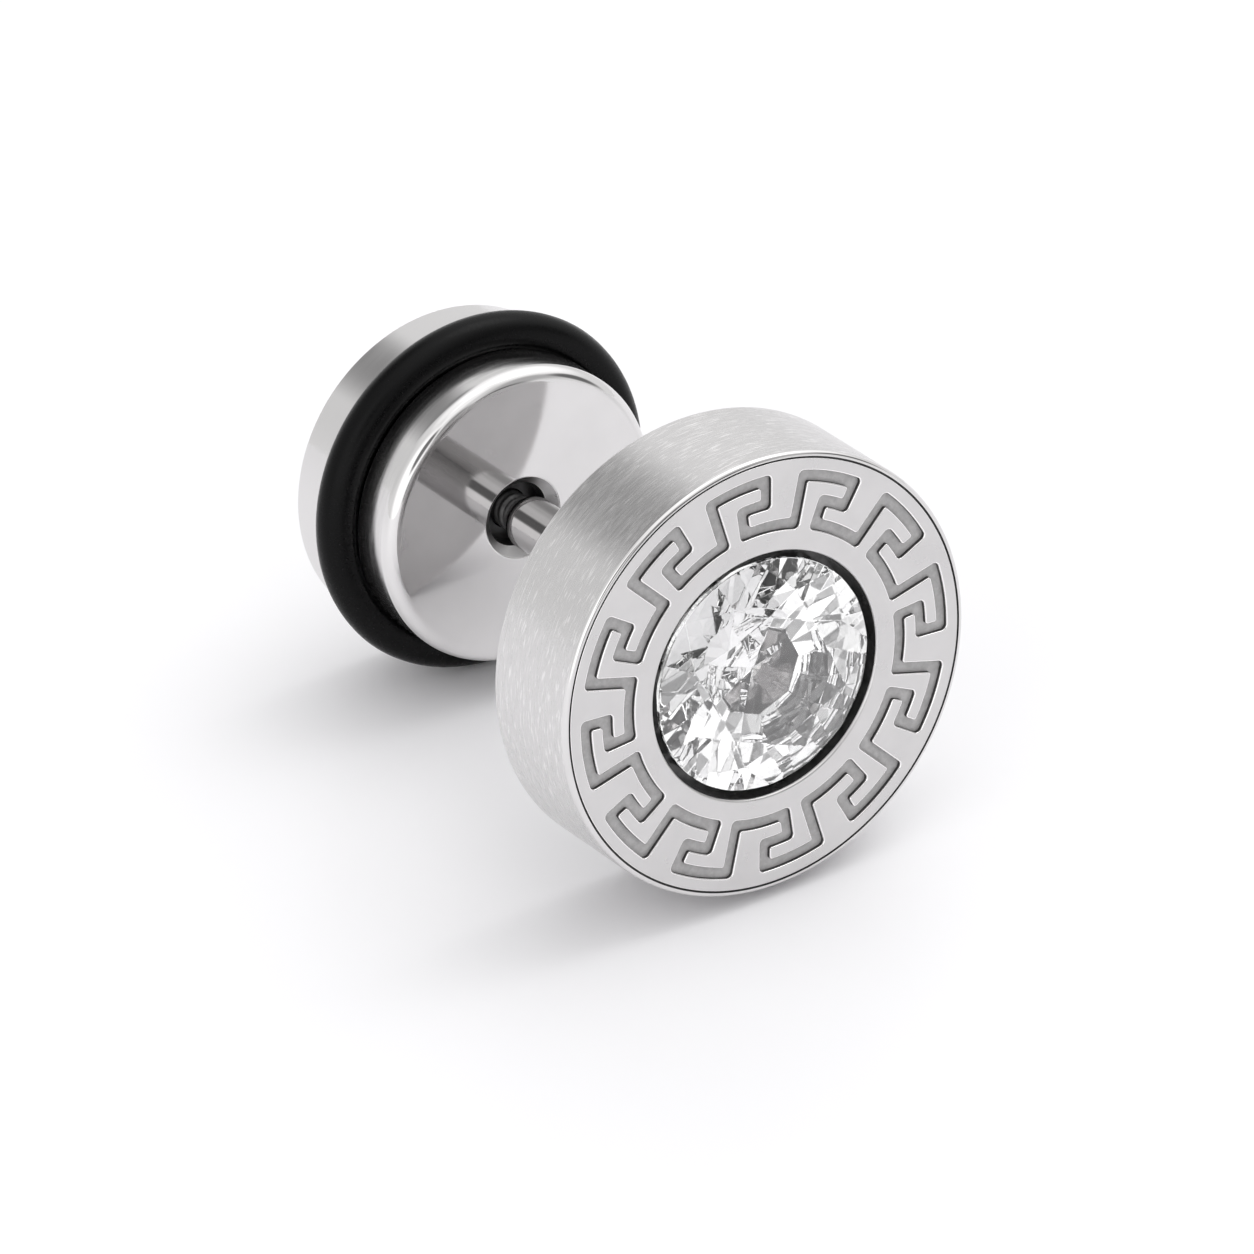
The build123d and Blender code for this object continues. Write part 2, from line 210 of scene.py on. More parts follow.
class Finish:
    """A Principled material in the making, and the nodes that vary it over a surface."""

    def __init__(self, name, color, metallic, roughness):
        self.material = bpy.data.materials.new(name)
        self.material.use_nodes = True
        self.nodes = self.material.node_tree.nodes
        self.links = self.material.node_tree.links
        self.inputs = self.nodes["Principled BSDF"].inputs
        self.inputs["Base Color"].default_value = (*color, 1)
        self.inputs["Metallic"].default_value = metallic
        self.inputs["Roughness"].default_value = roughness

    def noise(self, scale, detail, shares=(1, 1, 1), roughness=0.5):
        """Noise in the earring's frame: scale per millimetre, and the share of it on each axis."""
        place = self.nodes.new("ShaderNodeTexCoord")
        mapping = self.nodes.new("ShaderNodeMapping")
        mapping.vector_type = "TEXTURE"
        mapping.inputs["Location"].default_value = face_centre
        mapping.inputs["Rotation"].default_value = axis_frame.to_euler()
        mapping.inputs["Scale"].default_value = [MM / (scale * share) for share in shares]
        noise = self.nodes.new("ShaderNodeTexNoise")
        noise.inputs["Scale"].default_value = 1.0
        noise.inputs["Detail"].default_value = detail
        noise.inputs["Roughness"].default_value = roughness
        self.links.new(place.outputs["Object"], mapping.inputs["Vector"])
        self.links.new(mapping.outputs["Vector"], noise.inputs["Vector"])
        return noise.outputs["Fac"]

    def remap(self, value, low, high, start=NOISE_LOW, end=NOISE_HIGH):
        """A value from start to end carried to low to high."""
        node = self.nodes.new("ShaderNodeMapRange")
        node.inputs["From Min"].default_value = start
        node.inputs["From Max"].default_value = end
        node.inputs["To Min"].default_value = low
        node.inputs["To Max"].default_value = high
        self.links.new(value, node.inputs["Value"])
        return node.outputs["Result"]

    def vary_roughness(self, value, low, high):
        """Roughness from low to high, by a value."""
        self.links.new(self.remap(value, low, high), self.inputs["Roughness"])

    def vary_color(self, value, dark, light, start=NOISE_LOW, end=NOISE_HIGH):
        """A colour that is dark where the value is at start and light where it is at end."""
        factor = self.remap(value, 0, 1, start, end)
        mix = self.nodes.new("ShaderNodeMix")
        mix.data_type = "RGBA"
        mix.inputs["A"].default_value = (*dark, 1)
        mix.inputs["B"].default_value = (*light, 1)
        self.links.new(factor, mix.inputs["Factor"])
        self.links.new(mix.outputs["Result"], self.inputs["Base Color"])

    def bump(self, height, strength, depth):
        """A bump from a height, its depth in millimetres at full strength."""
        node = self.nodes.new("ShaderNodeBump")
        node.inputs["Strength"].default_value = strength
        node.inputs["Distance"].default_value = depth * MM
        self.links.new(height, node.inputs["Height"])
        self.links.new(node.outputs["Normal"], self.inputs["Normal"])

    def brush(self, amount):
        """A highlight stretched across the brushing, which runs round the axis."""
        self.inputs["Anisotropic"].default_value = amount
        self.inputs["Anisotropic Rotation"].default_value = 0.25
        self.links.new(self.turning_direction(), self.inputs["Tangent"])

    def turning_direction(self):
        """The direction round the axis at each point."""
        place = self.nodes.new("ShaderNodeTexCoord")
        offset = self.nodes.new("ShaderNodeVectorMath")
        offset.operation = "SUBTRACT"
        offset.inputs[1].default_value = face_centre
        around = self.nodes.new("ShaderNodeVectorMath")
        around.operation = "CROSS_PRODUCT"
        around.inputs[1].default_value = axis
        to_world = self.nodes.new("ShaderNodeVectorTransform")
        to_world.vector_type = "VECTOR"
        to_world.convert_from = "OBJECT"
        to_world.convert_to = "WORLD"
        self.links.new(place.outputs["Object"], offset.inputs[0])
        self.links.new(offset.outputs["Vector"], around.inputs[0])
        self.links.new(around.outputs["Vector"], to_world.inputs["Vector"])
        return to_world.outputs["Vector"]


def grey(level):
    """A steel grey with a slight warm cast."""
    cast = 0.985
    return (level, level * cast, level * cast)


def make_brushed():
    """Steel brushed round the axis, with fine streaks and scattered brighter dashes."""
    finish = Finish("brushed_steel", grey(0.7), metallic=1.0, roughness=0.22)
    streaks = finish.noise(scale=26, detail=3, shares=(0.08, 0.08, 1))
    dashes = finish.noise(scale=24, detail=1, shares=(0.12, 0.12, 1))
    finish.vary_roughness(streaks, low=0.18, high=0.3)
    finish.vary_color(dashes, grey(0.68), grey(0.84), start=0.58, end=0.7)
    finish.bump(streaks, strength=0.25, depth=0.0012)
    finish.brush(0.85)
    return finish.material


def make_satin(name, level):
    """Smooth satin steel with faint clouds and a very fine grain, as on the disc's face."""
    finish = Finish(name, grey(level), metallic=1.0, roughness=0.3)
    clouds = finish.noise(scale=0.8, detail=3)
    grain = finish.noise(scale=30, detail=2)
    finish.vary_roughness(clouds, low=0.26, high=0.36)
    finish.vary_color(clouds, grey(level - 0.03), grey(level + 0.03))
    finish.bump(grain, strength=0.2, depth=0.003)
    return finish.material


def make_polished(name, level):
    """Polished steel with faint smudges."""
    finish = Finish(name, grey(level), metallic=1.0, roughness=0.045)
    smudges = finish.noise(scale=0.7, detail=4)
    finish.vary_roughness(smudges, low=0.03, high=0.06)
    finish.vary_color(smudges, grey(level - 0.02), grey(level + 0.02))
    return finish.material


def make_turned():
    """Lathe-turned steel, with fine marks round the axis."""
    finish = Finish("turned_steel", grey(0.72), metallic=1.0, roughness=0.12)
    streaks = finish.noise(scale=20, detail=2, shares=(0.05, 0.05, 1))
    finish.vary_roughness(streaks, low=0.09, high=0.15)
    finish.bump(streaks, strength=0.2, depth=0.001)
    finish.brush(0.7)
    return finish.material


def make_painted_highlight():
    """The lips of the etched channel and of the line in the disc's rim: a painted highlight."""
    finish = Finish("painted_highlight_edge", grey(0.95), metallic=1.0, roughness=0.15)
    wear = finish.noise(scale=6, detail=2)
    finish.vary_roughness(wear, low=0.1, high=0.2)
    return finish.material


def make_etched():
    """The channel's floor: matte grey, mottled by the etching."""
    finish = Finish("etched_grey", grey(0.5), metallic=0.3, roughness=0.6)
    mottle = finish.noise(scale=7, detail=4, roughness=0.65)
    finish.vary_color(mottle, grey(0.46), grey(0.56))
    finish.bump(mottle, strength=0.5, depth=0.01)
    return finish.material


def make_painted_shade(name, level, roughness):
    """Steel painted dark, a painted shade that stands in for the shade in a recess."""
    finish = Finish(name, grey(level), metallic=0.5, roughness=roughness)
    mottle = finish.noise(scale=5, detail=3)
    finish.vary_color(mottle, grey(level * 0.7), grey(level * 1.3))
    return finish.material


def make_rubber():
    """Black rubber with a soft sheen and a very fine skin."""
    finish = Finish("black_rubber", (0.0022, 0.0022, 0.0024), metallic=0.0, roughness=0.3)
    finish.inputs["Specular IOR Level"].default_value = 0.12
    skin = finish.noise(scale=14, detail=3)
    finish.vary_roughness(skin, low=0.26, high=0.36)
    finish.bump(skin, strength=0.15, depth=0.004)
    return finish.material


def make_crystal():
    """The clear stone."""
    finish = Finish("clear_stone", (1, 1, 1), metallic=0.0, roughness=0.0)
    finish.inputs["IOR"].default_value = 2.4
    finish.inputs["Transmission Weight"].default_value = 1.0
    return finish.material


brushed = make_brushed()
satin = make_satin("satin_steel", level=0.69)
# a darker copy of the satin steel: painted shade on the disc's back and in the countersink
shaded_satin = make_satin("shaded_satin", level=0.54)
polished = make_polished("polished_steel", level=0.74)
# a darker copy of the polished steel: painted shade along the post
shaded_polished_post = make_polished("shaded_polished_post", level=0.46)
# steel much lighter than the rest: painted highlight on the rounded lips, which also catch real light
painted_highlight_edge = make_painted_highlight()
etched = make_etched()
# painted shade on the walls of the etched channel and of the fine line in the disc's rim
painted_shade_wall = make_painted_shade("painted_shade_wall", level=0.06, roughness=0.5)
# painted shade on the stone's ledge and the pocket's wall
painted_shade_pocket = make_painted_shade("painted_shade_pocket", level=0.07, roughness=0.12)
# painted shade in the back's hole, its thread and its end
painted_shade_hole = make_painted_shade("painted_shade_hole", level=0.03, roughness=0.3)
# painted shade on the post's tip and its thread, which sit in the hole
painted_shade_thread = make_painted_shade("painted_shade_thread", level=0.1, roughness=0.4)
turned = make_turned()
rubber = make_rubber()
crystal = make_crystal()


# Meshes

class Surface:
    """A mesh in the making: points in millimetres, faces, corner normals and materials."""

    def __init__(self):
        self.points = []
        self.index = {}
        self.faces = []
        self.normals = []
        self.slots = []
        self.materials = []

    def point(self, place):
        """The number of a point, which is made if there is none at that place."""
        key = tuple(round(x, POINT_DECIMALS) for x in place)
        if key not in self.index:
            self.index[key] = len(self.points)
            self.points.append(Vector(place))
        return self.index[key]

    def face(self, places, normals, material):
        """One face, turned so that it faces the way its normals do."""
        corners = [self.point(place) for place in places]
        kept = [i for i in range(len(corners)) if corners[i] != corners[i - 1]]
        if len(kept) < 3:
            return
        corners = [corners[i] for i in kept]
        normals = [Vector(normals[i]).normalized() for i in kept]
        across = Vector((0, 0, 0))
        start = self.points[corners[0]]
        for second, third in zip(corners[1:], corners[2:]):
            across += (self.points[second] - start).cross(self.points[third] - start)
        if across.dot(sum(normals, Vector((0, 0, 0)))) < 0:
            corners.reverse()
            normals.reverse()
        if material not in self.materials:
            self.materials.append(material)
        self.faces.append(corners)
        self.normals += normals
        self.slots.append(self.materials.index(material))

    def strip(self, first, second, first_normals, second_normals, material):
        """Faces between two closed rings of points with as many points each."""
        count = len(first)
        for i in range(count):
            j = (i + 1) % count
            self.face(
                [first[i], first[j], second[j], second[i]],
                [first_normals[i], first_normals[j], second_normals[j], second_normals[i]],
                material,
            )

    def piece(self, name, body, slot, *nodes):
        """The finished object, in the earring's frame, on its CAD body."""
        mesh = bpy.data.meshes.new(name)
        mesh.from_pydata([axis_frame @ (p * MM) for p in self.points], [], self.faces)
        for material in self.materials:
            mesh.materials.append(material)
        mesh.polygons.foreach_set("material_index", self.slots)
        mesh.polygons.foreach_set("use_smooth", [True] * len(self.faces))
        mesh.normals_split_custom_set([tuple(axis_frame.to_3x3() @ n) for n in self.normals])
        mesh.update()
        return stand(bpy.data.objects.new(name, mesh), body, slot, *nodes)


def stand(piece, body, slot, *nodes):
    """A piece put on its CAD body, in place of its CAD nodes."""
    bpy.context.scene.collection.objects.link(piece)
    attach(piece, body)
    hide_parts(*nodes)
    return piece


def outline(corners):
    """The strokes of a turned outline with its corners rounded.

    corners holds (radius, station, rounding, material), the material being that of the stretch
    that starts there, and a fifth entry, if any, that of the rounding itself. Each stroke is
    (points, normals, material), a normal being to the right of the path.
    """
    last = len(corners) - 1
    places = [Vector(corner[:2]) for corner in corners]
    cuts = []
    for i, (place, corner) in enumerate(zip(places, corners)):
        if i in (0, last) or corner[2] == 0:
            cuts.append((place, place, None))
            continue
        before = (places[i - 1] - place).normalized()
        after = (places[i + 1] - place).normalized()
        half = before.angle(after) / 2
        back = corner[2] / math.tan(half)
        middle = place + (before + after).normalized() * (corner[2] / math.sin(half))
        cuts.append((place + before * back, place + after * back, middle))
    strokes = []
    for i in range(last):
        arc_start, arc_end, middle = cuts[i]
        if middle is not None:
            strokes.append(arc_stroke(arc_start, arc_end, middle, corners[i][-1]))
        following = cuts[i + 1][0]
        along = (following - arc_end).normalized()
        right = Vector((along.y, -along.x))
        strokes.append(([arc_end, following], [right, right], corners[i][3]))
    return strokes


def arc_stroke(first, last, middle, material):
    """An arc round a middle from one point to another."""
    start = (first - middle).normalized()
    end = (last - middle).normalized()
    sweep = start.angle(end)
    # 1 where the path turns to the left, so that its right, where the normals point, is outward
    side = 1 if start.x * end.y - start.y * end.x > 0 else -1
    radius = (first - middle).length
    steps = max(ARC_LEAST_STEPS, math.ceil(math.degrees(sweep) / ARC_STEP_DEGREES))
    points = []
    normals = []
    for step in range(steps + 1):
        turn_angle = side * sweep * step / steps
        spoke = Vector((
            start.x * math.cos(turn_angle) - start.y * math.sin(turn_angle),
            start.x * math.sin(turn_angle) + start.y * math.cos(turn_angle),
        ))
        points.append(middle + spoke * radius)
        normals.append(spoke * side)
    points[0] = first
    points[-1] = last
    return points, normals, material


def ring(radius, station, segments=DISC_SEGMENTS):
    """Points round the axis."""
    radius = round(radius, RING_DECIMALS)
    station = round(station, RING_DECIMALS)
    return [
        Vector((
            radius * math.cos(2 * math.pi * i / segments),
            radius * math.sin(2 * math.pi * i / segments),
            station,
        ))
        for i in range(segments)
    ]


def turn(surface, strokes, segments=DISC_SEGMENTS):
    """Strokes turned round the axis into faces."""
    for points, normals, material in strokes:
        for k in range(len(points) - 1):
            surface.strip(
                ring(*points[k], segments),
                ring(*points[k + 1], segments),
                ring(*normals[k], segments),
                ring(*normals[k + 1], segments),
                material,
            )


def fill_flat(surface, outer, inner, material):
    """The flat, forward-facing area between two loops, which may have unlike numbers of points."""
    places = outer + inner
    front = Vector((0, 0, -1))
    for triangle in tessellate_polygon([outer, inner]):
        surface.face([places[i] for i in triangle], [front] * 3, material)


# Meander

land = FACE_RADIUS - RIM_RADIUS
key_half = land * KEY_STROKE / 2
outer_row = FACE_RADIUS - land * KEY_OUTER_MARGIN - key_half
inner_row = RIM_RADIUS + land * KEY_INNER_MARGIN + key_half
middle_row = (outer_row + inner_row) / 2


def key_corner(spoke, row, sideways):
    """Where a line beside a spoke meets a row's circle."""
    along = math.sqrt(row**2 - sideways**2)
    angle = math.radians(spoke)
    return Vector((
        along * math.cos(angle) - sideways * math.sin(angle),
        along * math.sin(angle) + sideways * math.cos(angle),
    ))


def key_unit(unit, shift):
    """One repeat's corners on a line that runs beside the channel's middle line, to its left."""
    unit_angle = 360 / KEY_UNITS
    long_spoke = unit * unit_angle - KEY_PHASE
    first_hook = long_spoke + KEY_BAR * unit_angle
    second_hook = first_hook - KEY_HOOK * unit_angle
    return [
        key_corner(long_spoke, outer_row - shift, shift),
        key_corner(first_hook, outer_row - shift, -shift),
        key_corner(first_hook, middle_row + shift, -shift),
        key_corner(second_hook, middle_row + shift, -shift),
        key_corner(second_hook, inner_row - shift, -shift),
        key_corner(long_spoke + unit_angle, inner_row - shift, shift),
    ]


def key_roundings(side, half):
    """Where each corner's rounding starts, the corner, and where the rounding ends."""
    units = [key_unit(unit, side * half) for unit in range(KEY_UNITS)]
    corners = [corner for unit in units for corner in unit]
    left_turns = len(units[0]) // 2
    spread = half - key_half
    roundings = []
    for i, corner in enumerate(corners):
        following = corners[(i + 1) % len(corners)]
        # a repeat's first corners turn to the left, and its others to the right
        turns_left = i % len(units[0]) < left_turns
        inside = turns_left == (side > 0)
        share = KEY_INNER_CORNER if inside else KEY_OUTER_CORNER
        rounding = 2 * key_half * share + (-spread if inside else spread)
        # the line follows a row's circle after each even corner, and a spoke after each odd one
        before = towards(corner, corners[i - 1], rounding, on_row=i % 2 == 1)
        after = towards(corner, following, rounding, on_row=i % 2 == 0)
        roundings.append((before, corner, after))
    return roundings


def key_edge(side, half):
    """One edge of the meander channel, at a distance half from the channel's middle line.

    side is +1 on the left of the path and -1 on its right. Returns the points and, for each, the
    direction away from the channel. The number of points doesn't depend on half.
    """
    roundings = key_roundings(side, half)
    points = []
    for i, (before, corner, after) in enumerate(roundings):
        for step in range(CORNER_STEPS + 1):
            points.append(bezier(before, corner, after, step / CORNER_STEPS))
        following = roundings[(i + 1) % len(roundings)][0]
        if i % 2 == 0:
            points += row_points(after, following)
        else:
            points.append(after.lerp(following, 0.5))
    outward = []
    for i in range(len(points)):
        direction = points[(i + 1) % len(points)] - points[i - 1]
        left = Vector((-direction.y, direction.x)).normalized()
        outward.append(left * side)
    return points, outward


def towards(corner, neighbour, distance, on_row):
    """The point at a distance from a corner to its neighbour, on the row's circle or the spoke."""
    if not on_row:
        return corner + (neighbour - corner).normalized() * distance
    radius = corner.length
    angle = math.atan2(corner.y, corner.x)
    sense = 1 if corner.x * neighbour.y - corner.y * neighbour.x > 0 else -1
    turned_angle = angle + sense * distance / radius
    return Vector((radius * math.cos(turned_angle), radius * math.sin(turned_angle)))


def bezier(first, control, last, t):
    """A point of the near-circular curve that rounds a corner."""
    reach_to_control = 0.5523
    a = first.lerp(control, reach_to_control)
    b = last.lerp(control, reach_to_control)
    u = 1 - t
    return first * u**3 + a * (3 * u * u * t) + b * (3 * u * t * t) + last * t**3


def row_points(first, last):
    """The points between two on a circle round the axis."""
    start = math.atan2(first.y, first.x)
    sweep = (math.atan2(last.y, last.x) - start + math.pi) % (2 * math.pi) - math.pi
    radius = first.length
    return [
        Vector((
            radius * math.cos(start + sweep * step / ROW_STEPS),
            radius * math.sin(start + sweep * step / ROW_STEPS),
        ))
        for step in range(1, ROW_STEPS)
    ]


def key_rings(side):
    """The rings down one side of the channel: points, normals and the next stretch's material."""
    levels = []
    for step in range(LIP_STEPS + 1):
        slope = math.pi / 2 * step / LIP_STEPS
        half = key_half + LIP_WIDTH * (1 - math.sin(slope))
        depth = LIP_DEPTH * (1 - math.cos(slope))
        # the lip is a painted highlight and the wall below it is painted shade
        levels.append((half, depth, slope, painted_highlight_edge if step < LIP_STEPS else painted_shade_wall))
    levels.append((key_half, KEY_DEPTH, math.pi / 2, None))
    rings = []
    for half, depth, slope, material in levels:
        points, outward = key_edge(side, half)
        # down the lip the normal turns from the face's own, forwards, to one across the channel
        normals = [
            Vector((-o.x * math.sin(slope), -o.y * math.sin(slope), -math.cos(slope)))
            for o in outward
        ]
        rings.append(([Vector((p.x, p.y, depth)) for p in points], normals, material))
    return rings


# Front disc

def make_face(surface):
    """The disc's face with the etched channel."""
    edges = {side: key_rings(side) for side in (-1, 1)}
    for rings in edges.values():
        for first, second in zip(rings, rings[1:]):
            surface.strip(first[0], second[0], first[1], second[1], first[2])
    fill_flat(surface, ring(LAND_EDGE, 0), edges[-1][0][0], satin)
    fill_flat(surface, edges[1][0][0], ring(RIM_RADIUS, 0), satin)
    floor = [edges[side][-1][0] for side in (-1, 1)]
    front = [Vector((0, 0, -1))] * len(floor[0])
    surface.strip(floor[0], floor[1], front, front, etched)


def pocket_outline():
    """The stone's pocket, from its floor out to the face, following the pavilion at a distance."""
    under_stone = [
        (radius + POCKET_SPACE, GIRDLE_BACK + depth + POCKET_SPACE, 0, polished)
        for _, _, radius, depth in reversed(PAVILION_ROWS[:-1])
    ]
    return outline([
        (0, POCKET_FLOOR, 0, polished),
        (POCKET_FLOOR_RADIUS, POCKET_FLOOR, 0, polished),
        *under_stone,
        # the ledge and the pocket's wall are painted shade
        (SEAT_RADIUS, POCKET_LEDGE, 0, painted_shade_pocket),
        (POCKET_RADIUS, POCKET_LEDGE, 0, painted_shade_pocket),
        (POCKET_RADIUS, 0, RIM_ROUNDING, satin),
        (RIM_RADIUS, 0, 0, satin),
    ])


def rim_outline():
    """The disc from the face's edge, with its fine line, round its side and back to the socket."""
    return outline([
        (LAND_EDGE, 0, 0, satin),
        # the fine line's rounded lip is a painted highlight, and its walls are painted shade
        (LINE_INSIDE, 0, LINE_LIP, painted_shade_wall, painted_highlight_edge),
        (LINE_INSIDE, LINE_DEPTH, 0, painted_shade_wall),
        (LINE_OUTSIDE, LINE_DEPTH, 0, painted_shade_wall),
        (LINE_OUTSIDE, 0, 0, polished),
        (DISC_RADIUS, 0, EDGE_ROUNDING, brushed, polished),
        # the disc's back is the darker satin, painted shade
        (DISC_RADIUS, DISC_BACK, BACK_EDGE_ROUNDING, shaded_satin, polished),
        (SOCKET_RADIUS, DISC_BACK, 0, polished),
        (SOCKET_RADIUS, SOCKET_END, 0, polished),
        (0, SOCKET_END, 0, polished),
    ])


def make_disc():
    """The front disc: its pocket, its brushed side and back, and its face."""
    surface = Surface()
    turn(surface, pocket_outline() + rim_outline())
    make_face(surface)
    return surface.piece("front_disc_dressed", "front", "brushed_disc", "front_disc")


# Post and back

def thread_strips(surface, radius, first, last, outward, material):
    """A screw thread on a pin, or in a hole if outward is -1, fading out at both of its ends."""

    def shape(angle, station):
        """The surface's radius: the plain radius less the groove's depth."""
        turns = station / THREAD_PITCH - angle / (2 * math.pi)
        wave = 0.5 - 0.5 * math.cos(2 * math.pi * turns)
        fade = min(1, (station - first) / THREAD_PITCH, (last - station) / THREAD_PITCH)
        return radius - outward * THREAD_DEPTH * wave * max(0, fade)

    def slope(angle, station, angle_nudge, station_nudge):
        """How fast the radius changes between a nudge before a place and a nudge after it."""
        ahead = shape(angle + angle_nudge, station + station_nudge)
        behind = shape(angle - angle_nudge, station - station_nudge)
        return (ahead - behind) / (2 * (angle_nudge + station_nudge))

    nudge = 1e-4
    steps = math.ceil((last - first) / THREAD_PITCH * THREAD_TURN_STEPS)
    rows = []
    for k in range(steps + 1):
        station = first + (last - first) * k / steps
        points = []
        normals = []
        for i in range(THREAD_SEGMENTS):
            angle = 2 * math.pi * i / THREAD_SEGMENTS
            here = shape(angle, station)
            by_angle = slope(angle, station, nudge, 0)
            by_station = slope(angle, station, 0, nudge)
            points.append(Vector((here * math.cos(angle), here * math.sin(angle), station)))
            normals.append(outward * Vector((
                here * math.cos(angle) + by_angle * math.sin(angle),
                here * math.sin(angle) - by_angle * math.cos(angle),
                -here * by_station,
            )))
        rows.append((points, normals))
    for (points, normals), (next_points, next_normals) in zip(rows, rows[1:]):
        surface.strip(points, next_points, normals, next_normals, material)


def make_post():
    """The post: its foot, shaft, rounded nose and threaded tip."""
    surface = Surface()
    tip_shoulder = TIP_END - TIP_CHAMFER
    nose_middle = Vector((POST_RADIUS - POST_NOSE_RADIUS, POST_STRAIGHT_END))
    nose_reach = math.sqrt(POST_NOSE_RADIUS**2 - (TIP_RADIUS - nose_middle.x) ** 2)
    nose_start = Vector((POST_RADIUS, POST_STRAIGHT_END))
    nose_end = Vector((TIP_RADIUS, POST_STRAIGHT_END + nose_reach))
    # the shaft and the nose are the darker polish, painted shade
    shaft = outline([
        (0, POST_FOOT, 0, shaded_polished_post),
        (FOOT_RADIUS, POST_FOOT, 0, shaded_polished_post),
        (FOOT_RADIUS, POST_START, 0, shaded_polished_post),
        (POST_RADIUS, POST_START, 0, shaded_polished_post),
        (POST_RADIUS, POST_STRAIGHT_END, 0, shaded_polished_post),
    ])
    nose = arc_stroke(nose_start, nose_end, nose_middle, shaded_polished_post)
    # the tip and its thread are painted shade
    end = outline([
        (TIP_RADIUS, tip_shoulder, 0, painted_shade_thread),
        (TIP_RADIUS - TIP_CHAMFER, TIP_END, 0, painted_shade_thread),
        (0, TIP_END, 0, painted_shade_thread),
    ])
    turn(surface, [*shaft, nose, *end], THREAD_SEGMENTS)
    thread_start = POST_STRAIGHT_END + nose_reach
    thread_strips(surface, TIP_RADIUS, thread_start, tip_shoulder, 1, painted_shade_thread)
    return surface.piece("post_dressed", "front", "polished_steel", "post")


def make_back():
    """The screw-on back: stepped threaded hole, polished hub, groove and flange."""
    surface = Surface()
    bore_front = HUB_FACE + COUNTERBORE_DEPTH
    sink_end = HUB_FACE + COUNTERBORE_CHAMFER
    # the hole, its thread and its end are painted shade
    hole_end = outline([
        (0, BORE_END, 0, painted_shade_hole),
        (BORE_RADIUS, BORE_END, 0, painted_shade_hole),
    ])
    body = outline([
        (COUNTERBORE_RADIUS, bore_front, 0, painted_shade_hole),
        # the countersink is the darker satin, painted shade
        (COUNTERBORE_RADIUS, sink_end, SINK_ROUNDING, shaded_satin, polished),
        (COUNTERBORE_RADIUS + COUNTERBORE_CHAMFER, HUB_FACE, SINK_ROUNDING, polished),
        (HUB_RADIUS, HUB_FACE, HUB_ROUNDING, turned, polished),
        (HUB_RADIUS, GROOVE_FRONT, 0, polished),
        (GROOVE_RADIUS, GROOVE_FRONT, 0, polished),
        (GROOVE_RADIUS, FLANGE_FRONT, 0, polished),
        (FLANGE_RADIUS, FLANGE_FRONT, FLANGE_ROUNDING, turned, polished),
        (FLANGE_RADIUS, BACK_END, FLANGE_ROUNDING, satin, polished),
        (0, BACK_END, 0, satin),
    ])
    turn(surface, hole_end, THREAD_SEGMENTS)
    thread_strips(surface, BORE_RADIUS, bore_front, BORE_END, -1, painted_shade_hole)
    fill_flat(
        surface,
        ring(COUNTERBORE_RADIUS, bore_front, BACK_SEGMENTS),
        ring(BORE_RADIUS, bore_front, THREAD_SEGMENTS),
        painted_shade_hole,
    )
    turn(surface, body, BACK_SEGMENTS)
    return surface.piece("screw_back_dressed", "back", "polished_steel", "screw_back")


def make_ring():
    """The rubber ring, with the faint parting line of its mould round the outside."""
    surface = Surface()
    centre = (RING_FRONT + RING_BACK) / 2
    points = []
    normals = []
    for step in range(TUBE_STEPS + 1):
        angle = 2 * math.pi * step / TUBE_STEPS
        spoke = Vector((math.cos(angle), math.sin(angle)))
        on_line = step in (0, TUBE_STEPS)
        tube = RING_TUBE - (0 if on_line else PARTING_LINE)
        points.append(Vector((RING_RADIUS, centre)) + spoke * tube)
        normals.append(spoke)
    turn(surface, [(points, normals, rubber)], BACK_SEGMENTS)
    return surface.piece("o_ring_dressed", "back", "rubber", "o_ring")


# Stone

def facet(first, second, third):
    """A facet's middle and its normal away from the axis."""
    normal = (second - first).cross(third - first).normalized()
    middle = (first + second + third) / 3
    if normal.x * middle.x + normal.y * middle.y < 0:
        normal = -normal
    return middle, normal


def stone_point(radius, angle, station):
    """A point of the stone by radius, angle in degrees and station."""
    radians = math.radians(angle)
    return Vector((radius * math.cos(radians), radius * math.sin(radians), station))


def crown_facets():
    """The planes of the crown: upper halves, stars and kites."""
    step = 360 / STONE_SIDES
    half = step / 2
    middle_share = math.cos(math.radians(half))
    slope = CROWN_HEIGHT / (STONE_RADIUS - TABLE_RADIUS)
    flat = TABLE_RADIUS * middle_share
    star_radius = flat + STAR_SHARE * (STONE_RADIUS - flat)
    star_station = GIRDLE_FRONT - slope * (STONE_RADIUS - star_radius * middle_share)
    facets = []
    for i in range(STONE_SIDES):
        angle = i * step
        girdle_point = stone_point(STONE_RADIUS, angle, GIRDLE_FRONT)
        for side in (1, -1):
            girdle_side = stone_point(STONE_RADIUS, angle + side * half, GIRDLE_FRONT)
            star = stone_point(star_radius, angle + side * half, star_station)
            facets.append(facet(girdle_point, girdle_side, star))
        corner = stone_point(TABLE_RADIUS, angle, TABLE)
        next_corner = stone_point(TABLE_RADIUS, angle + step, TABLE)
        star_after = stone_point(star_radius, angle + half, star_station)
        star_before = stone_point(star_radius, angle - half, star_station)
        facets.append(facet(corner, next_corner, star_after))
        facets.append(facet(corner, star_after, star_before))
    return facets


def pavilion_facets():
    """The planes of the pavilion, row by row."""
    facets = []
    start_radius = STONE_RADIUS
    start_depth = 0
    for count, steps, end_radius, end_depth in PAVILION_ROWS:
        slope = math.atan2(end_depth - start_depth, start_radius - end_radius)
        for i in range(count):
            angle = (i + steps) * 360 / count
            middle = stone_point(start_radius, angle, GIRDLE_BACK + start_depth)
            facets.append((middle, stone_point(math.sin(slope), angle, math.cos(slope))))
        start_radius = end_radius
        start_depth = end_depth
    return facets


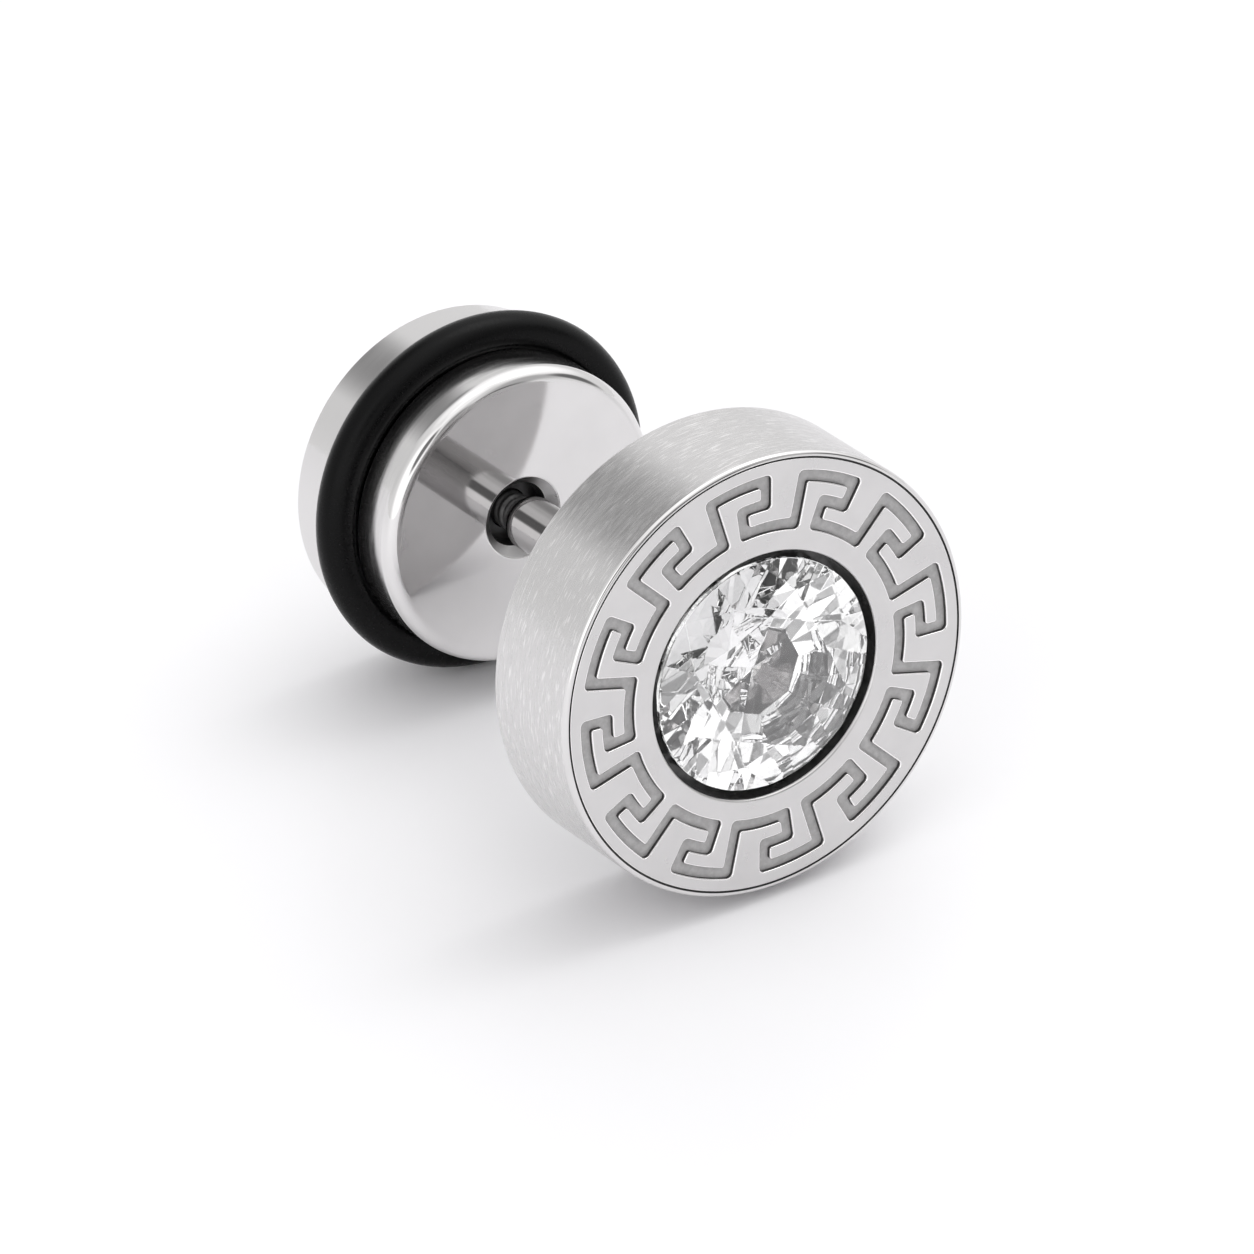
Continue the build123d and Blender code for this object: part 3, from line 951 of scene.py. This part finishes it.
def make_stone():
    """The stone, cut from a round blank by each facet's plane, its edges a fine width."""
    on_plane = 1e-5
    same_place = 1e-4
    work = bmesh.new()
    bmesh.ops.create_cone(
        work, cap_ends=True, segments=BLANK_SEGMENTS, radius1=STONE_RADIUS, radius2=STONE_RADIUS,
        depth=CULET - TABLE, matrix=Matrix.Translation((0, 0, (TABLE + CULET) / 2)),
    )
    for middle, normal in crown_facets() + pavilion_facets():
        everything = work.verts[:] + work.edges[:] + work.faces[:]
        cut = bmesh.ops.bisect_plane(
            work, geom=everything, dist=on_plane, plane_co=middle, plane_no=normal,
            clear_outer=True,
        )
        rim = [e for e in cut["geom_cut"] if isinstance(e, bmesh.types.BMEdge)]
        if rim:
            bmesh.ops.contextual_create(work, geom=rim)
    bmesh.ops.remove_doubles(work, verts=work.verts[:], dist=same_place)
    bmesh.ops.bevel(
        work, geom=work.edges[:], offset=FACET_EDGE, offset_type="OFFSET", segments=1,
        profile=0.5, affect="EDGES",
    )
    bmesh.ops.recalc_face_normals(work, faces=work.faces[:])
    to_row = axis_frame @ Matrix.Scale(MM, 4)
    bmesh.ops.transform(work, matrix=to_row, verts=work.verts[:])
    mesh = bpy.data.meshes.new("stone_dressed")
    work.to_mesh(mesh)
    work.free()
    mesh.materials.append(crystal)
    return stand(bpy.data.objects.new("stone_dressed", mesh), "front", "stone", "stone")


make_disc()
make_stone()
make_post()
make_back()
make_ring()


# Stage

FLOOR_HALF_SIZE = 1.5

# Where the fit to the photograph puts the camera, in millimetres, and where it looks
LENS_MM = 324.8
SENSOR_MM = 36
CAMERA_PLACE_MM = Vector((-111.242, -170.033, 133.446))
CAMERA_DIRECTION = Vector((0.46263, 0.70324, -0.53984))

# Light from all round, and on it soft patches: azimuth from +Y towards +X, elevation, the angles
# within which it is full and beyond which it is gone, and how much a softbox adds or which share
# of the light a gap takes away
STUDIO_LEVEL = 0.88
SOFTBOXES = [
    (-130, 22, 14, 42, 0.65),
    (-176, 60, 8, 20, 0.35),
    (80, 58, 18, 46, 0.5),
    (88, 60, 10, 22, 1.6),
    (-110, 82, 6, 28, 0.35),
]
STUDIO_GAPS = [
    (-15, 42, 7, 25, 0.66),
    (-147, 33, 8, 16, 0.85),
    (-179, 27, 3, 13, 0.6),
    (145, 24, 6, 22, 0.4),
    (-50, 24, 10, 28, 0.12),
    (165, 9, 8, 20, 0.85),
    (-166, 4, 4, 12, 0.7),
    (120, 16, 6, 16, 0.8),
]

# How often light may be thrown back inside the stone before it is given up
GLOSSY_BOUNCES = 16
MAX_BOUNCES = 20


def make_floor():
    """A large, plain, pale floor with a faint gloss."""
    corners = [
        (x * FLOOR_HALF_SIZE, y * FLOOR_HALF_SIZE, 0)
        for x, y in ((-1, -1), (1, -1), (1, 1), (-1, 1))
    ]
    mesh = bpy.data.meshes.new("floor")
    mesh.from_pydata(corners, [], [(0, 1, 2, 3)])
    finish = Finish("pale_floor", (0.92, 0.915, 0.93), metallic=0.0, roughness=0.35)
    finish.inputs["Specular IOR Level"].default_value = 0.25
    mesh.materials.append(finish.material)
    floor = bpy.data.objects.new("floor", mesh)
    bpy.context.scene.collection.objects.link(floor)


def direction(azimuth, elevation):
    """A unit vector by its azimuth from +Y towards +X and its elevation, in degrees."""
    a = math.radians(azimuth)
    e = math.radians(elevation)
    return (math.sin(a) * math.cos(e), math.cos(a) * math.cos(e), math.sin(e))


def patch(nodes, links, place, azimuth, elevation, inner, outer, strength):
    """A value that is full within the inner angle of a direction and gone beyond the outer one."""
    dot = nodes.new("ShaderNodeVectorMath")
    dot.operation = "DOT_PRODUCT"
    dot.inputs[1].default_value = direction(azimuth, elevation)
    links.new(place, dot.inputs[0])
    soft = nodes.new("ShaderNodeMapRange")
    soft.interpolation_type = "SMOOTHSTEP"
    soft.inputs["From Min"].default_value = math.cos(math.radians(outer))
    soft.inputs["From Max"].default_value = math.cos(math.radians(inner))
    soft.inputs["To Min"].default_value = 0
    soft.inputs["To Max"].default_value = strength
    links.new(dot.outputs["Value"], soft.inputs["Value"])
    return soft.outputs["Result"]


def combine(nodes, links, operation, first, second):
    """The sum, product or difference of two values, of which the first may be a number."""
    node = nodes.new("ShaderNodeMath")
    node.operation = operation
    if isinstance(first, (int, float)):
        node.inputs[0].default_value = first
    else:
        links.new(first, node.inputs[0])
    links.new(second, node.inputs[1])
    return node.outputs["Value"]


def make_studio():
    """Even white light from all round, with brighter softboxes and darker gaps between them."""
    world = bpy.data.worlds.new("studio")
    bpy.context.scene.world = world
    world.use_nodes = True
    nodes = world.node_tree.nodes
    links = world.node_tree.links
    background = nodes["Background"]
    place = nodes.new("ShaderNodeTexCoord").outputs["Generated"]
    light = STUDIO_LEVEL
    for softbox in SOFTBOXES:
        light = combine(nodes, links, "ADD", light, patch(nodes, links, place, *softbox))
    for gap in STUDIO_GAPS:
        shade = combine(nodes, links, "SUBTRACT", 1, patch(nodes, links, place, *gap))
        light = combine(nodes, links, "MULTIPLY", shade, light)
    links.new(light, background.inputs["Strength"])
    background.inputs["Color"].default_value = (1, 1, 1, 1)


def make_camera():
    """The camera, at the photograph's viewing angle."""
    camera = bpy.data.objects.new("camera", bpy.data.cameras.new("camera"))
    camera.data.sensor_width = SENSOR_MM
    camera.data.lens = LENS_MM
    camera.location = CAMERA_PLACE_MM * MM
    camera.rotation_mode = "QUATERNION"
    camera.rotation_quaternion = CAMERA_DIRECTION.to_track_quat("-Z", "Y")
    bpy.context.scene.collection.objects.link(camera)
    bpy.context.scene.camera = camera


make_floor()
make_studio()
make_camera()
bpy.context.scene.view_settings.view_transform = "Standard"
bpy.context.scene.cycles.glossy_bounces = GLOSSY_BOUNCES
bpy.context.scene.cycles.max_bounces = MAX_BOUNCES
